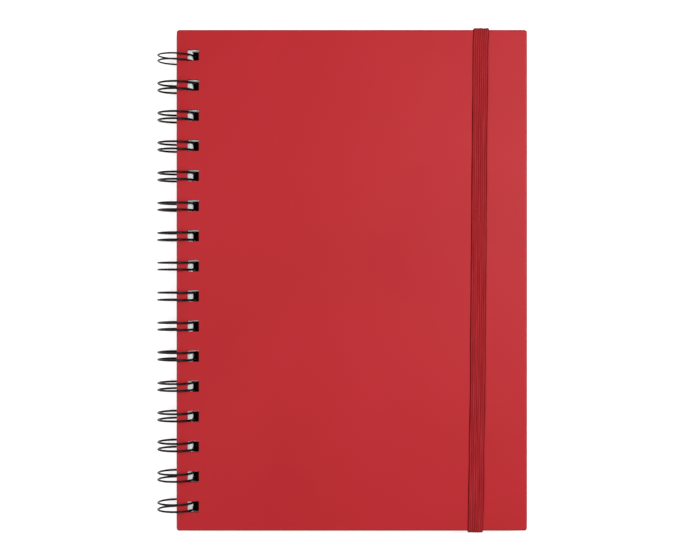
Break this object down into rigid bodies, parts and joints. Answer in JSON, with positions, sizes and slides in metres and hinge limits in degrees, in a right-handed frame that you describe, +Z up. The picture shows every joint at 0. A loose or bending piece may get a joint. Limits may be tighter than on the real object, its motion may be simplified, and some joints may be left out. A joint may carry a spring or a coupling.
{
  "type": "spiral notebook",
  "caption": "Hard-cover wire-bound notebook, tall and thin, with a red wrapped cover, a black twin-loop wire along the long edge and a red elastic closure band.",
  "frame": {"origin": "on the surface that the notebook lies on, under the middle of its bounding box", "axes": "+X from the bound edge to the fore edge, +Y up the page along the wire, +Z up through the front cover"},
  "size_m": [0.1567, 0.213, 0.016],
  "materials": {
    "cover_wrap": "smooth matt coated covering with a very fine grain, bright red, a little shinier on the edges",
    "cover_board": "raw dark board, seen only in the punched holes",
    "cover_lining": "matt black paper",
    "pages": "uncoated white paper, stacked edges",
    "wire_enamel": "gloss black enamelled steel wire",
    "elastic": "woven elastic with fine lengthwise ribs, dark red"
  },
  "bodies": {
    "back": {"back_board": "cover_board", "back_wrap": "cover_wrap", "back_lining": "cover_lining", "binding_wire": "wire_enamel", "elastic_band": "elastic"},
    "pages": {"page_block": "pages"},
    "front": {"front_board": "cover_board", "front_wrap": "cover_wrap", "front_lining": "cover_lining"}
  },
  "joints": [
    {"name": "page_hinge", "type": "hinge", "parent": "back", "child": "pages", "pos_m": [-0.07035, 0, 0.008], "axis": [0, -1, 0], "range_deg": [0, 180], "deforming": ["elastic_band"]},
    {"name": "front_hinge", "type": "hinge", "parent": "pages", "child": "front", "pos_m": [-0.07035, 0, 0.008], "axis": [0, -1, 0], "range_deg": [0, 180], "deforming": ["elastic_band"]}
  ]
}
